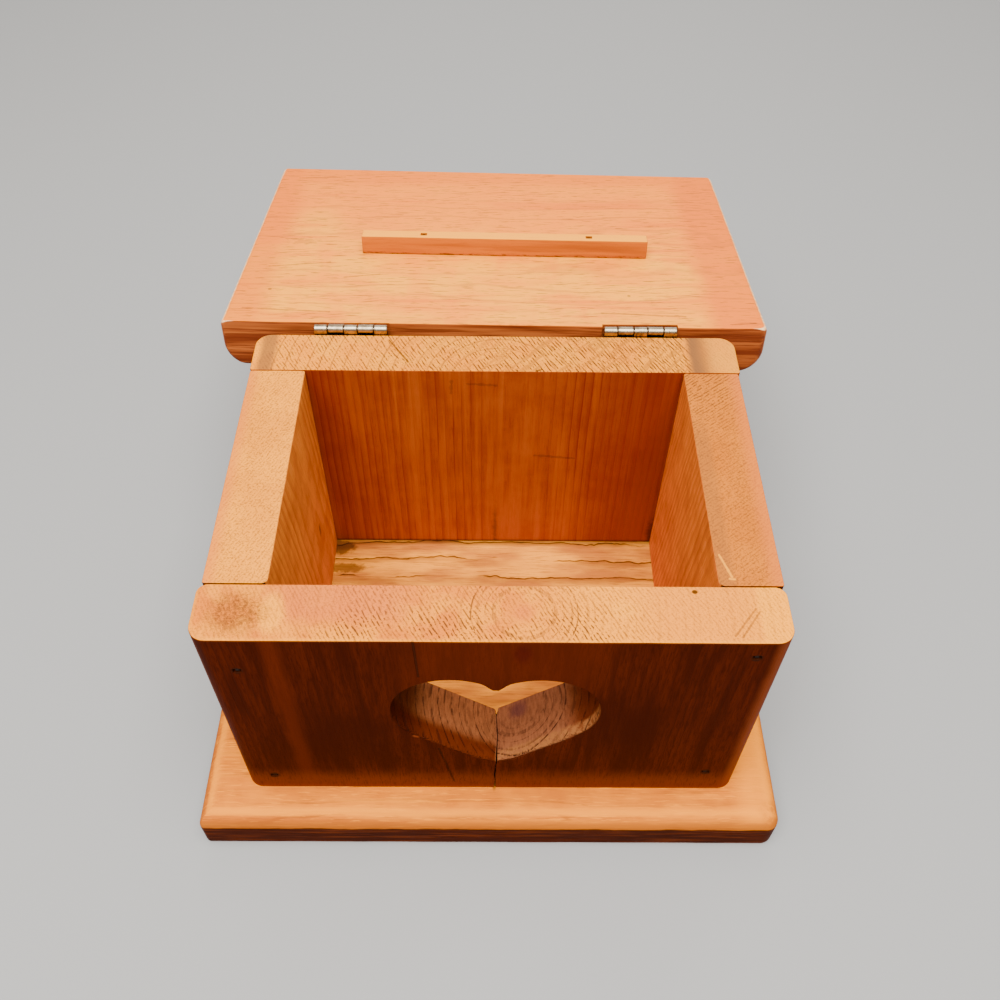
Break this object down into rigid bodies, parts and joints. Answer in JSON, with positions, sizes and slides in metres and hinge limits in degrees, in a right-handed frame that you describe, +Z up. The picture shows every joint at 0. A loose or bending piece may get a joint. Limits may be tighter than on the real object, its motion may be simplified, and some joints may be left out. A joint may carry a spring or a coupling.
{
  "type": "keepsake box",
  "caption": "Small wooden keepsake box with a heart opening in its front, on a wider rounded base, with a hinged lid folded back behind it.",
  "frame": {"origin": "centre of the base board's underside", "axes": "+Z up, +X to the right seen from the front, +Y towards the back, where the open lid lies; the heart faces -Y"},
  "size_m": [0.2032, 0.28, 0.1193],
  "materials": {
    "wall_wood": "stained pine, pale worn end grain on top, satin orange inside",
    "front_finish": "dark red-brown satin varnish over vertical grain",
    "lid_wood": "pale honey pine, thin worn finish",
    "batten_wood": "orange stained strip",
    "base_wood": "tan stained pine, worn edges",
    "hinges": "dull nickel-plated brass",
    "brads": "darkened steel brad heads"
  },
  "bodies": {
    "box": {"base_board": "base_wood", "front_board": "front_finish", "left_side_board": "wall_wood", "right_side_board": "wall_wood", "back_board": "wall_wood", "front_brad_upper_left": "brads", "front_brad_upper_right": "brads", "front_brad_lower_left": "brads", "front_brad_lower_right": "brads", "back_brad_upper_left": "brads", "back_brad_upper_right": "brads", "back_brad_lower_left": "brads", "back_brad_lower_right": "brads", "left_hinge_box_leaf": "hinges", "left_hinge_box_screw_1": "hinges", "left_hinge_box_screw_2": "hinges", "left_hinge_pin": "hinges", "right_hinge_box_leaf": "hinges", "right_hinge_box_screw_1": "hinges", "right_hinge_box_screw_2": "hinges", "right_hinge_pin": "hinges"},
    "lid": {"lid_board": "lid_wood", "lid_batten": "batten_wood", "batten_brad_left": "brads", "batten_brad_right": "brads", "left_hinge_lid_leaf": "hinges", "left_hinge_lid_screw_1": "hinges", "left_hinge_lid_screw_2": "hinges", "right_hinge_lid_leaf": "hinges", "right_hinge_lid_screw_1": "hinges", "right_hinge_lid_screw_2": "hinges"}
  },
  "joints": [
    {"name": "lid_hinge", "type": "hinge", "parent": "box", "child": "lid", "pos_m": [0, 0.0654, 0.11775], "axis": [1, 0, 0], "range_deg": [0, 189.8]}
  ]
}
